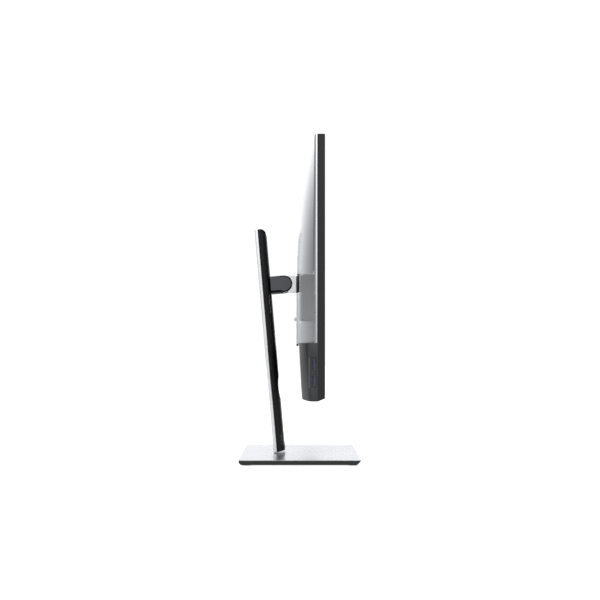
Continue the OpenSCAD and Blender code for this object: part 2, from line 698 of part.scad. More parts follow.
module bay_space(grow, up) along_x(0, bay_w + 2 * grow) polygon([[bay_floor - grow, seam_z + up],
    [bay_floor - grow, bay_low - grow / 2], [back_y + 2, ramp_low - grow], [back_y + 8, ramp_low - grow], [back_y + 8, seam_z + up]]);

screw_x = [-side_x + 60, -bay_w / 2 - 25, bay_w / 2 + 25, side_x - 60];
screw_z = seam_z - 16;

module lower_cover() color([0.27, 0.27, 0.28]) difference() {
    lower_solid(0);
    difference() {
        lower_solid(2);
        bay_space(bay_wall, 1);
        for (x = screw_x) translate([x, 0, screw_z]) bar_y(4, chassis_back, back_y);
        block([-side_x - 1, recess_front - 1.4, side_recess_low - 1.4],
            [-side_x + recess_depth + 1.6, recess_rear + 1.6, side_recess_high + 1.4]);
    }
    bay_space(0, 1);
    // Recess and openings of the side ports
    block([-side_x - 1, recess_front, side_recess_low], [-side_x + recess_depth, recess_rear, side_recess_high]);
    for (z = usb_z) block([-side_x - 1, usb_y - usb_h / 2 - 0.5, z - usb_w / 2 - 0.5],
        [-side_x + 8, usb_y + usb_h / 2 + 0.5, z + usb_w / 2 + 0.5]);
    // Slots of the buttons
    for (x = concat(button_x, [power_x])) translate([x, button_y, panel_lift - 1])
        linear_extrude(4) rounded_rect(button_w + 0.6, button_d + 0.6, 1.5);
    // Slot of the security lock
    translate([bay_w / 2 + 12, 0, bay_low + 14]) block([-1.5, bezel_back + 8, -3.5], [1.5, back_y + 1, 3.5]);
    for (x = screw_x) translate([x, 0, screw_z]) {
        bar_y(1.25, chassis_back - 1, back_y);
        bar_y(3.2, bezel_back + 14, back_y + 1);
    }
}

module cover_screws() color([0.25, 0.25, 0.27]) for (x = screw_x) translate([x, 0, screw_z]) {
    bar_y(1.24, chassis_back + 0.3, bezel_back + 14.1);
    bar_y(2.8, bezel_back + 14, bezel_back + 15.6);
}

// ---------- mount ----------

frame_back = bracket_front;
frame_front = frame_back - frame_t;
frame_half = vesa / 2 + 16;
boss_back = back_y - 5.1;

module vesa_places() for (x = [-1, 1], z = [-1, 1]) translate([x * vesa / 2, 0, axis_z + z * vesa / 2]) children();

module vesa_frame() color([0.6, 0.61, 0.63]) difference() {
    union() {
        translate([0, 0, axis_z]) along_y(frame_front, frame_back - skin) rounded_rect(2 * frame_half, 2 * frame_half, 8);
        vesa_places() bar_y(4.6, frame_front, boss_back);
    }
    vesa_places() bar_y(vesa_r, frame_front - 1, boss_back + 1);
    translate([0, 0, axis_z]) bar_y(pivot_r + 5, frame_front - 1, frame_back + 1);
}

bracket_low = recess_low + 2;
module mount_bracket() color([0.17, 0.17, 0.18]) difference() {
    translate([0, 0, (bracket_low + recess_high - 1) / 2]) along_y(bracket_front, bracket_back)
        rounded_rect(2 * recess_half - 3, recess_high - 1 - bracket_low, 4);
    translate([0, 0, axis_z]) bar_y(pivot_r + fit, bracket_front - 1, bracket_back + 1);
    block([-5, bracket_front - 1, bracket_low - 1], [5, bracket_back + 1, bracket_low + 3]);
}

button_travel = 2;
module release_button() color([0.78, 0.79, 0.8]) translate([0, 0, button_z]) {
    along_x(0, 2 * release_half) union() {
        translate([back_y + 0.9, 0]) circle(r = release_r);
        polygon([[back_y - 4, -release_r], [back_y + 0.9, -release_r], [back_y + 0.9, release_r], [back_y - 4, release_r]]);
    }
    block([-release_half - 2, back_y - 4.2, -release_r - 0.9], [release_half + 2, back_y - cover_wall - slip, release_r + 0.9]);
}

// Raised cover over the latch, below the hub
latch_low = recess_low + 0.6;
latch_high = axis_z - hub_r - 1.9;
module latch_cover() color([0.8, 0.81, 0.82]) translate([0, 0, (latch_low + latch_high) / 2])
    along_y(bracket_back + skin, back_y - 0.1) rounded_rect(2 * recess_half - 1.2, latch_high - latch_low, 3);

// Bent leaf between the frame and the button
leaf_t = 0.3;
module release_spring() color([0.75, 0.75, 0.76]) translate([0, 0, button_z]) rotate([90, 0, 90])
    translate([0, 0, -4]) linear_extrude(8) polygon([
        [frame_back, -3], [frame_back + leaf_t, -3], [frame_back + leaf_t, -1.5], [back_y - 4.3, 2],
        [back_y - 4.3 - leaf_t, 2.3], [frame_back, -1.2]]);

// ---------- electronics ----------

shield_half = 128;
port_room = 18.5;
shield_low = seam_z + port_room;
shield_high = axis_z + frame_half + 4;
shield_back = frame_front - skin;
sheet_t = 1;
port_face = bay_floor + 1.8;
board_t = 1.6;
board_y = port_face - skin - board_t;

module board_shield() color([0.72, 0.73, 0.74]) difference() {
    block([-shield_half, chassis_back + skin, shield_low], [shield_half, shield_back, shield_high]);
    block([sheet_t - shield_half, chassis_back, shield_low - 1], [shield_half - sheet_t, shield_back - sheet_t, shield_high - sheet_t]);
    translate([0, 0, axis_z]) bar_y(pivot_r + 5, shield_back - 3, shield_back + 1);
}

// A board on its standoffs, with its larger components as low blocks
module board(x0, x1, z0, z1, parts) difference() {
    union() {
        block([x0, board_y, z0], [x1, board_y + board_t, z1]);
        for (x = [x0 + 5, x1 - 5], z = [z0 + 5, z1 - 5]) translate([x, 0, z]) bar_y(2.5, chassis_back, board_y + 0.1);
        for (p = parts) block([x0 + p[0], board_y + 1, z0 + p[1]], [x0 + p[0] + p[2], board_y + board_t + p[4], z0 + p[1] + p[3]]);
    }
    for (x = [x0 + 5, x1 - 5], z = [z0 + 5, z1 - 5]) translate([x, 0, z]) bar_y(1.2, chassis_back - 1, board_y + board_t + 1);
}
board_low = seam_z + 1.5;
main_x = -58;
module main_board() color([0.1, 0.35, 0.18]) board(main_x, shield_half - 4, board_low, board_low + 88,
    [[70, 44, 30, 30, 2.5], [30, 58, 16, 14, 1.6], [130, 34, 20, 20, 2], [24, 26, 14, 20, 3]]);
module power_board() color([0.55, 0.4, 0.2]) board(4 - shield_half, main_x - 3, shield_low + 2, shield_low + 112,
    [[14, 14, 26, 24, 7], [12, 52, 34, 32, 6], [40, 18, 12, 22, 7], [16, 92, 28, 12, 4]]);

// ---------- connectors ----------

io_z = seam_z + 0.1;
io_t = 1;
bay_back = back_y - cover_wall - 1;
// Each downward port: place along X, width, depth, height
video = [[-46, 15, 5.6, 12], [-22, 17, 5.8, 12], [2, 9.6, 5.6, 11], [22, 17, 5.8, 12]];
data = [[46, 9, 8.2, 16], [66, 13.3, 5.9, 15], [88, 13.3, 5.9, 15], [107, 7.6, 7.6, 13]];
inlet_x = -84;
inlet_w = 28;
inlet_d = 20;
inlet_h = 15;

module io_plate() color([0.24, 0.24, 0.25]) difference() {
    block([1 - bay_w / 2, bay_floor - 1, io_z], [bay_w / 2 - 1, bay_back, io_z + io_t]);
    for (p = concat(video, data)) at_port(p) translate([0, 0, -1])
        linear_extrude(4) square([p[1] + 0.2, p[2] + 0.2], center = true);
    translate([inlet_x, bay_floor + inlet_d / 2 - 0.4, io_z - 1]) linear_extrude(4) square([inlet_w - 3, inlet_d - 3], center = true);
}

// Each port lies with its flat side on the main board
module at_port(p) translate([p[0], port_face + p[2] / 2, io_z]) children();
port_out = 0.4;
shell_t = 0.4;
// A metal shell open at the bottom
module port_shell(p) at_port(p) translate([0, 0, -port_out]) difference() {
    linear_extrude(p[3]) square([p[1], p[2]], center = true);
    translate([0, 0, -1]) linear_extrude(p[3]) square([p[1] - 2 * shell_t, p[2] - 2 * shell_t], center = true);
}

module video_ports() color([0.6, 0.6, 0.62]) for (p = video) {
    port_shell(p);
    at_port(p) translate([0, 0, 0.8]) linear_extrude(p[3] - 1.8) square([p[1] - 4, 1.2], center = true);
}
module data_ports() color([0.6, 0.6, 0.62]) for (p = data) port_shell(p);

module power_inlet() color([0.1, 0.1, 0.1]) translate([inlet_x, bay_floor + inlet_d / 2 - 0.4, io_z + io_t + skin]) {
    difference() {
        linear_extrude(inlet_h) rounded_rect(inlet_w, inlet_d - 0.6, 1.5);
        translate([0, 0, -1]) linear_extrude(inlet_h - 1) rounded_rect(inlet_w - 4, inlet_d - 3.8, 2);
    }
    for (b = [[-7, 1.5], [0, -2], [7, 1.5]]) translate([b[0], b[1], 1.2]) linear_extrude(inlet_h - 2)
        square([2, 4], center = true);
}

module side_shell(z) translate([-side_x + recess_depth + 0.05, usb_y, z]) difference() {
    block([0, -usb_h / 2 - shell_t, -usb_w / 2 - shell_t], [15, usb_h / 2 + shell_t, usb_w / 2 + shell_t]);
    block([-1, -usb_h / 2, -usb_w / 2], [14, usb_h / 2, usb_w / 2]);
}
module side_usb_ports() color([0.62, 0.62, 0.64]) for (z = usb_z) side_shell(z);

// The blue insulators of all four USB sockets
module usb_tongues() color([0.12, 0.25, 0.7]) {
    for (z = usb_z) translate([-side_x + recess_depth + 1.2, usb_y, z])
        block([0, 0.4, -usb_w / 2 + 0.8], [12.8, 2.2, usb_w / 2 - 0.8]);
    for (i = [1, 2]) at_port(data[i])
        block([-usb_w / 2 + 0.8, 0.4, 0.8], [usb_w / 2 - 0.8, 2.2, data[i][3] - 1 - port_out - fit]);
}

module side_usb_board() color([0.1, 0.35, 0.18])
    block([-side_x + recess_depth + 2, usb_y - usb_h / 2 - shell_t - skin - board_t, side_recess_low + 1],
        [-side_x + 34, usb_y - usb_h / 2 - shell_t - skin, side_recess_high - 1]);

// ---------- buttons ----------

press = 0.7;
module button() translate([0, button_y, 0]) {
    translate([0, 0, panel_lift - 0.25]) linear_extrude(4) rounded_rect(button_w, button_d, 1.2);
    translate([0, 0, panel_lift + 2 + slip]) linear_extrude(1.2) rounded_rect(button_w + 3, button_d + 1.8, 0.8);
}
module menu_button(i) color([0.12, 0.12, 0.13]) translate([button_x[i], 0, 0]) button();
module menu_button_1() menu_button(0);
module menu_button_2() menu_button(1);
module menu_button_3() menu_button(2);
module menu_button_4() menu_button(3);
module power_button() color([0.16, 0.16, 0.17]) translate([power_x, 0, 0]) button();

key_z = panel_lift + 2 + slip + 1.9 + press;
module key_board() color([0.1, 0.35, 0.18]) {
    block([button_x[0] - 10, bezel_back + 0.3, key_z + 1.5], [power_x + 10, button_y + 5, key_z + 2.9]);
    for (x = concat(button_x, [power_x])) translate([x, button_y, key_z]) linear_extrude(1.6)
        square([5, 3], center = true);
}

base_top_skin();
base_steel_plate();
base_tray();
rubber_feet();
swivel_bush();
base_screws();
swivel_spindle();
swivel_retainer();
foot_pad();
foot_casting();
base_thumbscrew();
riser_front_cover();
riser_back_cover();
riser_spine();
guide_rods();
rod_blocks();
cable_liner();
lift_spring_band();
riser_screws();
arm_core();
arm_side_caps();
carriage_block();
slide_bushes();
lift_spring_roll();
tilt_washers();
tilt_head();
tilt_shaft();
pivot_hub();
pivot_nut();
front_bezel();
lcd_cell();
light_guide();
led_bar();
rear_chassis();
rim_trim();
rear_cover();
lower_cover();
vesa_frame();
mount_bracket();
board_shield();
main_board();
power_board();
io_plate();
video_ports();
data_ports();
power_inlet();
side_usb_board();
side_usb_ports();
usb_tongues();
key_board();
power_lens();
cover_screws();
latch_cover();
release_button();
release_spring();
power_button();
menu_button_1();
menu_button_2();
menu_button_3();
menu_button_4();
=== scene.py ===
# %% [markdown]
# # A computer monitor on its stand
# This lesson dresses a finished construction model of a monitor in its looks. The model gives every piece
# its place and size in metres; Blender adds the curved rear cover, the finishes, the light and the camera.
# The screen faces -Y, +Z is up, and the viewer's right is +X.

# %% load the model
import json
import math

import bmesh
import bpy
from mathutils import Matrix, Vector


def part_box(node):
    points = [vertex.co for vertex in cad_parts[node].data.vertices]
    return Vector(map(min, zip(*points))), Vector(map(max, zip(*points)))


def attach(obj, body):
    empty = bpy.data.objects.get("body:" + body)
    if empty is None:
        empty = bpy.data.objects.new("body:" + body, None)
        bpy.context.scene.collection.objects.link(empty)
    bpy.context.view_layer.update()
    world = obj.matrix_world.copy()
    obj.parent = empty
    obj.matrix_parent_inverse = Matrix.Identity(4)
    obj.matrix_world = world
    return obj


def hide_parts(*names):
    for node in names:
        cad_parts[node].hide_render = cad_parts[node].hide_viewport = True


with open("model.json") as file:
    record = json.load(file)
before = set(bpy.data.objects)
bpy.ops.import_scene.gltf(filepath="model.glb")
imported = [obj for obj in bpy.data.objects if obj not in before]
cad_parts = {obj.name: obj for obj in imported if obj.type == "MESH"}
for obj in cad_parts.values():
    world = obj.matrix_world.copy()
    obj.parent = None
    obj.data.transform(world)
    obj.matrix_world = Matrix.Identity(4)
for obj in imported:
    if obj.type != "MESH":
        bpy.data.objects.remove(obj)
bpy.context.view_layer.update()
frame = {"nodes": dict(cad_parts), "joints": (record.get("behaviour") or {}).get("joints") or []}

nodes = frame["nodes"]

# %% [markdown]
# ## The places that everything else hangs on
# A maker works from datum faces, not from scattered numbers. The panel's datums are the back of its bezel,
# the back of the bright rim, the seam under the rear cover and its crown; the stand's is the tilt axis.
# They are read from the model once, so a change of size there moves every new piece here as well.

# %% datum faces
MM = 0.001
rim_low, rim_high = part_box("rim_trim")
shell_low, shell_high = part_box("rear_cover")
side_x, rim_back, panel_top, seam_z = rim_high.x, rim_high.y, rim_high.z, rim_low.z
bezel_back, crown_y = rim_low.y, shell_high.y
joints = {joint["name"]: joint for joint in frame["joints"]}
tilt_at = Vector(joints["tilt"]["pos_m"])
print("panel half width", round(side_x, 4), "seam", round(seam_z, 4), "crown", round(crown_y, 4))
print("tilt axis", [round(v, 4) for v in tilt_at])

# %% [markdown]
# ## Camera
# The monitor is seen square from its side, from a little under two metres, with a longer lens that keeps
# the stand's upright edges upright. A view camera does that by sliding its lens instead of tilting, and
# Blender's lens shift does the same, so the camera stays level. The lens's length and its two slides are
# counted in parts of the frame's side, of which there are 600.

# %% camera
FRAME_SIDE, SENSOR_MM = 600, 36
LENS_LONG, SLIDE_ACROSS, SLIDE_UP = 1168, 2.0, 47.4
CAMERA_AT = (-1.8546, 0.0025, 0.1740)
LOOK_ALONG_X = (math.radians(90), 0, math.radians(-90))
scene = bpy.context.scene
camera = bpy.data.objects.new("camera", bpy.data.cameras.new("camera"))
scene.collection.objects.link(camera)
scene.camera = camera
camera.location, camera.rotation_euler = CAMERA_AT, LOOK_ALONG_X
camera.data.sensor_width = SENSOR_MM
camera.data.lens = LENS_LONG / FRAME_SIDE * SENSOR_MM
camera.data.shift_x, camera.data.shift_y = SLIDE_ACROSS / FRAME_SIDE, SLIDE_UP / FRAME_SIDE
camera.data.clip_start, camera.data.clip_end = 0.05, 50
print("lens", round(camera.data.lens, 1), "mm")

# %% [markdown]
# ## Writing shader maths as sums
# A node tree for a finish is mostly arithmetic: a speckle times a depth, plus a base level. Wiring each step
# by hand hides the sum. First comes one function that adds a node: its settings, then its inputs, by number
# or by name with _ for a space. It also feeds a socket, with another node's output or with a plain value.

# %% adding one node


def feed(tree, socket, value):
    """Links an output to a socket, or sets the socket to a number or to a colour of three parts."""
    if isinstance(value, Wire):
        tree.links.new(value.socket, socket)
    elif hasattr(value, "__len__") and len(value) == 3 and socket.type == "RGBA":
        socket.default_value = (*value, 1)
    else:
        socket.default_value = value


def add_node(tree, kind, settings=None, out=0, **inputs):
    """Adds a node with its settings and inputs, and returns the output of that number."""
    node = tree.nodes.new(kind)
    for name, value in (settings or {}).items():
        setattr(node, name, value)
    for key, value in inputs.items():
        numbered = key[0] == "i" and key[1:].isdigit()
        feed(tree, node.inputs[int(key[1:]) if numbered else key.replace("_", " ")], value)
    return Wire(tree, node.outputs[out])


print("one function adds every node")

# %% [markdown]
# The small class below wraps one output and turns +, -, *, /, ** and the comparisons into the nodes that do
# them, also when a plain number stands first. Vectors get Vector Math and colours get Mix, because a Math
# node would turn a colour grey.

# %% the socket class


class Wire:
    """One output socket of a node tree. Arithmetic on it adds the nodes that work it out."""

    def __init__(self, tree, socket):
        self.tree, self.socket = tree, socket

    def node(self, kind, settings=None, out=0, **inputs):
        return add_node(self.tree, kind, settings, out, **inputs)

    def maths(self, operation, first, second, clamp=False):
        if isinstance(first, Wire) and first.socket.type == "VECTOR":
            return self.node("ShaderNodeVectorMath", {"operation": operation}, i0=first, i1=second)
        return self.node("ShaderNodeMath", {"operation": operation, "use_clamp": clamp}, i0=first, i1=second)

    def __add__(self, other): return self.maths("ADD", self, other)
    def __radd__(self, other): return self.maths("ADD", other, self)
    def __sub__(self, other): return self.maths("SUBTRACT", self, other)
    def __rsub__(self, other): return self.maths("SUBTRACT", other, self)
    def __mul__(self, other): return self.maths("MULTIPLY", self, other)
    def __rmul__(self, other): return self.maths("MULTIPLY", other, self)
    def __truediv__(self, other): return self.maths("DIVIDE", self, other)
    def __rtruediv__(self, other): return self.maths("DIVIDE", other, self)
    def __pow__(self, other): return self.maths("POWER", self, other)
    def __gt__(self, other): return self.maths("GREATER_THAN", self, other)
    def __lt__(self, other): return self.maths("LESS_THAN", self, other)
    def __neg__(self): return self.maths("MULTIPLY", self, -1.0)
    def __abs__(self): return self.node("ShaderNodeMath", {"operation": "ABSOLUTE"}, i0=self)

    def clamp(self):
        """The value held between 0 and 1."""
        return self.maths("ADD", self, 0.0, clamp=True)

    def smooth(self, low, high):
        """0 at low, 1 at high, and an eased rise between them."""
        return self.node("ShaderNodeMapRange", {"interpolation_type": "SMOOTHSTEP"}, Value=self, From_Min=low,
                         From_Max=high, To_Min=0.0, To_Max=1.0)

    def between(self, first, second):
        """A colour that goes from first to second as this value goes from 0 to 1."""
        return self.node("ShaderNodeMix", {"data_type": "RGBA"}, out=2, i0=self, i6=first, i7=second)

    def part(self, axis):
        return self.node("ShaderNodeSeparateXYZ", out="XYZ".index(axis), i0=self)


print("socket class ready")

# %% [markdown]
# ## A class for finishes
# Each finish is a short recipe. A noise at the size of the real grain drives a bump, and a much larger and
# fainter one varies the colour and the gloss the way handling and moulding do. What is the same all over is
# set straight on the shader's socket; only what varies is wired.

# %% the recipe every finish starts from
finishes = {}


class Finish:
    """A material under construction: its shader, its coordinates and its texture."""

    def __init__(self, name, **sockets):
        self.material = bpy.data.materials.new(name)
        self.material.use_nodes = True
        self.tree = self.material.node_tree
        self.shader = self.tree.nodes["Principled BSDF"]
        self.set(**sockets)
        finishes[name] = self.material

    def set(self, **sockets):
        for label, value in sockets.items():
            feed(self.tree, self.shader.inputs[label.replace("_", " ")], value)

    def node(self, kind, settings=None, out=0, **inputs):
        return add_node(self.tree, kind, settings, out, **inputs)

    def place(self):
        """The point's own place on the object, in metres."""
        return self.node("ShaderNodeTexCoord", out=3)

    def noise(self, size_mm, detail=2.0, rough=0.5, where=None):
        """Cloudy noise whose clumps are about size_mm across, from 0 to 1."""
        return self.node("ShaderNodeTexNoise", Vector=where or self.place(), Scale=1 / (size_mm * MM),
                         Detail=detail, Roughness=rough)

    def bump(self, height, depth_mm):
        return self.node("ShaderNodeBump", Strength=1.0, Distance=depth_mm * MM, Height=height)


print("recipe ready")

# %% [markdown]
# ## Studio
# The monitor stands on a white sweep. Satin metal shows mostly what it reflects, so the surroundings model a
# silver cover more than the lamps do. A room could be built of cards round the object. A world graded by
# direction does the same with no mesh: a bright wall behind the monitor that fades towards the floor, a soft
# ceiling, a weaker side in front of the screen, and one behind the camera, dim at the floor and bright over
# it. Seen directly, the world is plain white.

# %% studio surroundings
WHITE = (1, 1, 1)
BACKDROP, BACKDROP_TINT = 1.05, (0.965, 0.98, 1.0)
GLOW_ROOM, GLOW_WALL, GLOW_WALL_CORE, GLOW_ABOVE, GLOW_SCREEN_SIDE = 0.075, 1.08, 0.6, 0.33, 0.35
GLOW_LENS_SIDE, GLOW_OVER_LENS = 0.18, 0.82
WALL_FROM, WALL_FADE, WALL_CORE_FADE, WALL_AT_FLOOR = 0.45, 1.1, 6, 0.4
WALL_RISE, CEILING_RISE, OVER_LENS_RISE = (-0.02, 0.09), (0.25, 0.95), (-0.03, 0.08)
SCREEN_SIDE_REACH, LENS_SIDE_REACH = (0.3, 0.95), (-0.35, -0.85)

world = bpy.data.worlds.new("studio")
scene.world = world
world.use_nodes = True
sky = world.node_tree
sky.nodes.clear()
direction = add_node(sky, "ShaderNodeTexCoord")
ahead, aside, aloft = (direction.part(axis) for axis in "XYZ")
towards_wall = ((ahead - WALL_FROM) / (1 - WALL_FROM)).clamp() ** WALL_FADE
wall_height = aloft.smooth(*WALL_RISE) * (1 - WALL_AT_FLOOR) + WALL_AT_FLOOR
wall = (towards_wall * GLOW_WALL + towards_wall ** WALL_CORE_FADE * GLOW_WALL_CORE) * wall_height
ceiling = aloft.smooth(*CEILING_RISE) * GLOW_ABOVE
screen_side = (-aside).smooth(*SCREEN_SIDE_REACH) * GLOW_SCREEN_SIDE
over_lens = aloft.smooth(*OVER_LENS_RISE) * GLOW_OVER_LENS
lens_side = ahead.smooth(*LENS_SIDE_REACH) * (GLOW_LENS_SIDE + over_lens)
level = GLOW_ROOM + wall + ceiling + screen_side + lens_side
seen_directly = add_node(sky, "ShaderNodeLightPath")
strength = seen_directly * BACKDROP + (1 - seen_directly) * level
tint = seen_directly.between(BACKDROP_TINT, WHITE)
background = add_node(sky, "ShaderNodeBackground", Color=tint, Strength=strength)
sky.links.new(background.socket, sky.nodes.new("ShaderNodeOutputWorld").inputs[0])
scene.view_settings.view_transform = "Standard"
print("surroundings:", len(sky.nodes), "nodes")

# %% [markdown]
# The floor is one sheet of white paper. It glows a little, more where it is seen directly, so that it runs
# into the white backdrop with no line between them, and the metals still see a floor that is a shade darker.

# %% floor
FLOOR_HALF, FLOOR_DROP = 9.0, 0.0003
FLOOR_TONE, FLOOR_GLOW, FLOOR_GLOW_SEEN = 0.76, 0.18, 0.80
floor_mesh = bpy.data.meshes.new("floor")
corners = [(x * FLOOR_HALF, y * FLOOR_HALF, -FLOOR_DROP) for x, y in ((-1, -1), (1, -1), (1, 1), (-1, 1))]
floor_mesh.from_pydata(corners, [], [(0, 1, 2, 3)])
floor = bpy.data.objects.new("floor", floor_mesh)
scene.collection.objects.link(floor)
paper = Finish("paper_sweep", Base_Color=(FLOOR_TONE,) * 3, Roughness=0.9, Emission_Strength=1.0)
seen_paper = paper.node("ShaderNodeLightPath")
paper.set(Emission_Color=seen_paper.between((FLOOR_GLOW,) * 3, (FLOOR_GLOW_SEEN,) * 3))
floor_mesh.materials.append(paper.material)
print("floor:", 2 * FLOOR_HALF, "metres square")

# %% [markdown]
# Four wide lamps stand round the monitor, each aimed at its middle. Their size matters more than their power:
# a lamp wider than the object gives the soft-edged highlights of a studio.

# %% lamps


def softbox(name, place, aim, size, watts):
    """A rectangular lamp at a place, turned to face another."""
    lamp = bpy.data.lights.new(name, "AREA")
    lamp.shape, lamp.size, lamp.size_y, lamp.energy = "RECTANGLE", size[0], size[1], watts
    holder = bpy.data.objects.new(name, lamp)
    scene.collection.objects.link(holder)
    holder.location = place
    holder.rotation_euler = (Vector(aim) - Vector(place)).to_track_quat("-Z", "Y").to_euler()


softbox("lamp_above", place=(0.1, 0.25, 2.1), aim=(0, 0, 0.2), size=(1.8, 1.4), watts=9)
softbox("lamp_by_lens", place=(-2.3, -0.5, 1.25), aim=(0, 0, 0.3), size=(1.3, 0.9), watts=4)
softbox("lamp_behind", place=(-0.4, 2.4, 1.2), aim=(0, 0, 0.3), size=(1.4, 1.0), watts=1.5)
softbox("lamp_screen_side", place=(0.5, -2.1, 1.3), aim=(0, 0, 0.25), size=(1.3, 1.0), watts=3)

# %% [markdown]
# ## Moulded plastics
# The bezel, the lower cover and the stand's dark covers are moulded in spark-eroded tools. The grain is a
# fine irregular pebble, about half a millimetre across, and the gloss is low but never flat: it rises a
# little where hands polish it. An image of such a grain would have to be fitted to every piece; a noise in
# the object's own space needs no fitting and has the same size on all of them.

# %% moulded plastics
CLOUD_MM, CLOUD_GLOSS, GRAIN_GLOSS, TONE_LIFT = 38, 0.08, 0.06, 0.002


def moulded(name, tone, gloss, grain_mm=0.45, depth_mm=0.012, drift=0.06, **extra):
    """A plastic: the drift is how far its tone wanders, and extra goes straight to the shader."""
    f = Finish(name, **extra)
    grain = f.noise(grain_mm, detail=3.0, rough=0.6)
    cloud = f.noise(CLOUD_MM)
    lighter = tuple(c * (1 + drift) + TONE_LIFT for c in tone)
    darker = tuple(c * (1 - drift) for c in tone)
    f.set(Base_Color=cloud.between(darker, lighter), Normal=f.bump(grain, depth_mm),
          Roughness=gloss + (cloud - 0.5) * CLOUD_GLOSS + (grain - 0.5) * GRAIN_GLOSS)
    return f


moulded("charcoal_bezel", (0.0115, 0.012, 0.0132), 0.42, Specular_IOR_Level=0.36)
moulded("riser_black", (0.0065, 0.0066, 0.007), 0.36, grain_mm=0.35, depth_mm=0.006, Specular_IOR_Level=0.25)
moulded("arm_black", (0.005, 0.005, 0.0054), 0.5, grain_mm=0.4, Specular_IOR_Level=0.06)
moulded("arm_grey", (0.096, 0.098, 0.105), 0.48, grain_mm=0.5)
moulded("tray_black", (0.012, 0.012, 0.0125), 0.45, grain_mm=0.5)
moulded("hub_black", (0.14, 0.141, 0.146), 0.5)
moulded("acetal_white", (0.72, 0.71, 0.66), 0.5, grain_mm=0.8, depth_mm=0.004)
moulded("rubber_black", (0.016, 0.016, 0.016), 0.78, grain_mm=0.7, depth_mm=0.03, drift=0.1)
moulded("usb_blue", (0.012, 0.02, 0.075), 0.35, grain_mm=0.5, depth_mm=0.003)
# a painted shadow: dull black that reflects nothing, for the rear shell's lip under the seam
moulded("seam_painted_shadow", (0.05, 0.051, 0.053), 0.8, Specular_IOR_Level=0.0)
moulded("inlet_black", (0.014, 0.014, 0.014), 0.4)
moulded("button_charcoal", (0.04, 0.041, 0.043), 0.38)
print("finishes so far:", len(finishes))

# %% [markdown]
# The dark lower cover has one more detail: a painted highlight along the edge of the shallow recess round the
# side sockets, a thin upright line. It is too narrow for a bevel of its own, so the highlight is a lighter
# tone painted between two depths, along the length of the sockets and only on their side of the panel.

# %% lower cover
COVER_TONE, COVER_LIP_HIGHLIGHT = (0.033, 0.0335, 0.0352), (0.095, 0.097, 0.102)
COVER_LOOKS = dict(gloss=0.42, grain_mm=0.6, depth_mm=0.015, Specular_IOR_Level=0.5)
LIP_WIDE, LIP_FROM_SOCKETS, LIP_PAST_SOCKETS, LIP_REACH = 1.9 * MM, 5.2 * MM, 3 * MM, 4 * MM
moulded("charcoal_cover", COVER_TONE, **COVER_LOOKS)
cover = moulded("charcoal_side", COVER_TONE, **COVER_LOOKS)
sockets_low, sockets_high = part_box("side_usb_ports")
lip_from = (sockets_low.y + sockets_high.y) / 2 + LIP_FROM_SOCKETS
cover_x, cover_y, cover_z = (cover.place().part(axis) for axis in "XYZ")
# painted highlight: the base colour is lighter in this thin band along the recess's edge
lip = ((cover_y > lip_from) * (cover_y < lip_from + LIP_WIDE) * (cover_x < -side_x + LIP_REACH)
       * (cover_z > sockets_low.z - LIP_PAST_SOCKETS) * (cover_z < sockets_high.z + LIP_PAST_SOCKETS))
cover.set(Base_Color=lip.between(COVER_TONE, COVER_LIP_HIGHLIGHT))
print("lip from y", round(lip_from, 4), "to", round(lip_from + LIP_WIDE, 4))

# %% [markdown]
# ## Metals
# The rear cover is painted with a fine silver flake under a satin lacquer; the riser's cover is bead-blasted
# aluminium, which blurs reflections evenly; the tilt head and the base are satin metal, and the rim strip is
# polished. Flake is tiny, so it shows as a slight sparkle of gloss, not as dots.

# %% metals
TONE_DROP, METAL_CLOUD_MM = 0.975, 60


def metal(name, tone, gloss, grain_mm, depth_mm, metallic=1.0, gloss_drift=0.05, **extra):
    """A metal: the same recipe as a plastic's, with a finer grain and a wider cloud."""
    f = Finish(name, Metallic=metallic, **extra)
    grain = f.noise(grain_mm, rough=0.7)
    cloud = f.noise(METAL_CLOUD_MM)
    f.set(Base_Color=cloud.between(tuple(c * TONE_DROP for c in tone), tone), Normal=f.bump(grain, depth_mm),
          Roughness=gloss + (cloud - 0.5) * gloss_drift + (grain - 0.5) * gloss_drift)
    return f


metal("silver_paint", (0.74, 0.745, 0.755), 0.30, 0.5, 0.0012, metallic=0.96, Coat_Weight=0.2,
      Coat_Roughness=0.22)
metal("blasted_aluminium", (0.94, 0.943, 0.947), 0.28, 0.22, 0.003)
metal("base_aluminium", (0.50, 0.502, 0.51), 0.27, 0.5, 0.0008, metallic=0.7)
metal("head_silver", (0.95, 0.953, 0.957), 0.22, 0.3, 0.002, metallic=0.8)
metal("ground_steel", (0.62, 0.625, 0.64), 0.27, 0.3, 0.003)
metal("bright_steel", (0.72, 0.73, 0.74), 0.2, 0.4, 0.002)
metal("blackened_steel", (0.05, 0.05, 0.052), 0.4, 0.3, 0.004, metallic=0.8)
metal("tinned_shell", (0.16, 0.165, 0.18), 0.3, 0.3, 0.003)
metal("brass_washer", (0.72, 0.56, 0.27), 0.32, 0.3, 0.003)
print("finishes so far:", len(finishes))

# %% [markdown]
# The polished rim lies between the bezel and the rear cover, and a shadowed seam runs along both of its
# edges. Cutting two grooves a fraction of a millimetre wide would need a new mesh. The seams' shade is painted
# instead: a dark tone at the two edges of the strip, each with a soft edge.

# %% polished rim
# the rim's tone, and the dark tone painted as shadow in its seams
RIM_TONE, RIM_SEAM_SHADOW = (0.84, 0.845, 0.85), (0.02, 0.02, 0.022)
BEZEL_SEAM_SHADOW, COVER_SEAM_SHADOW = (0.4 * MM, 0.8 * MM), (0.45 * MM, 0.1 * MM)
rim = metal("polished_rim", RIM_TONE, 0.13, 0.4, 0.0006, gloss_drift=0.03)
depth = rim.place().part("Y")
past_bezel = depth.smooth(*(bezel_back + v for v in BEZEL_SEAM_SHADOW))
at_cover = depth.smooth(*(rim_back - v for v in COVER_SEAM_SHADOW))
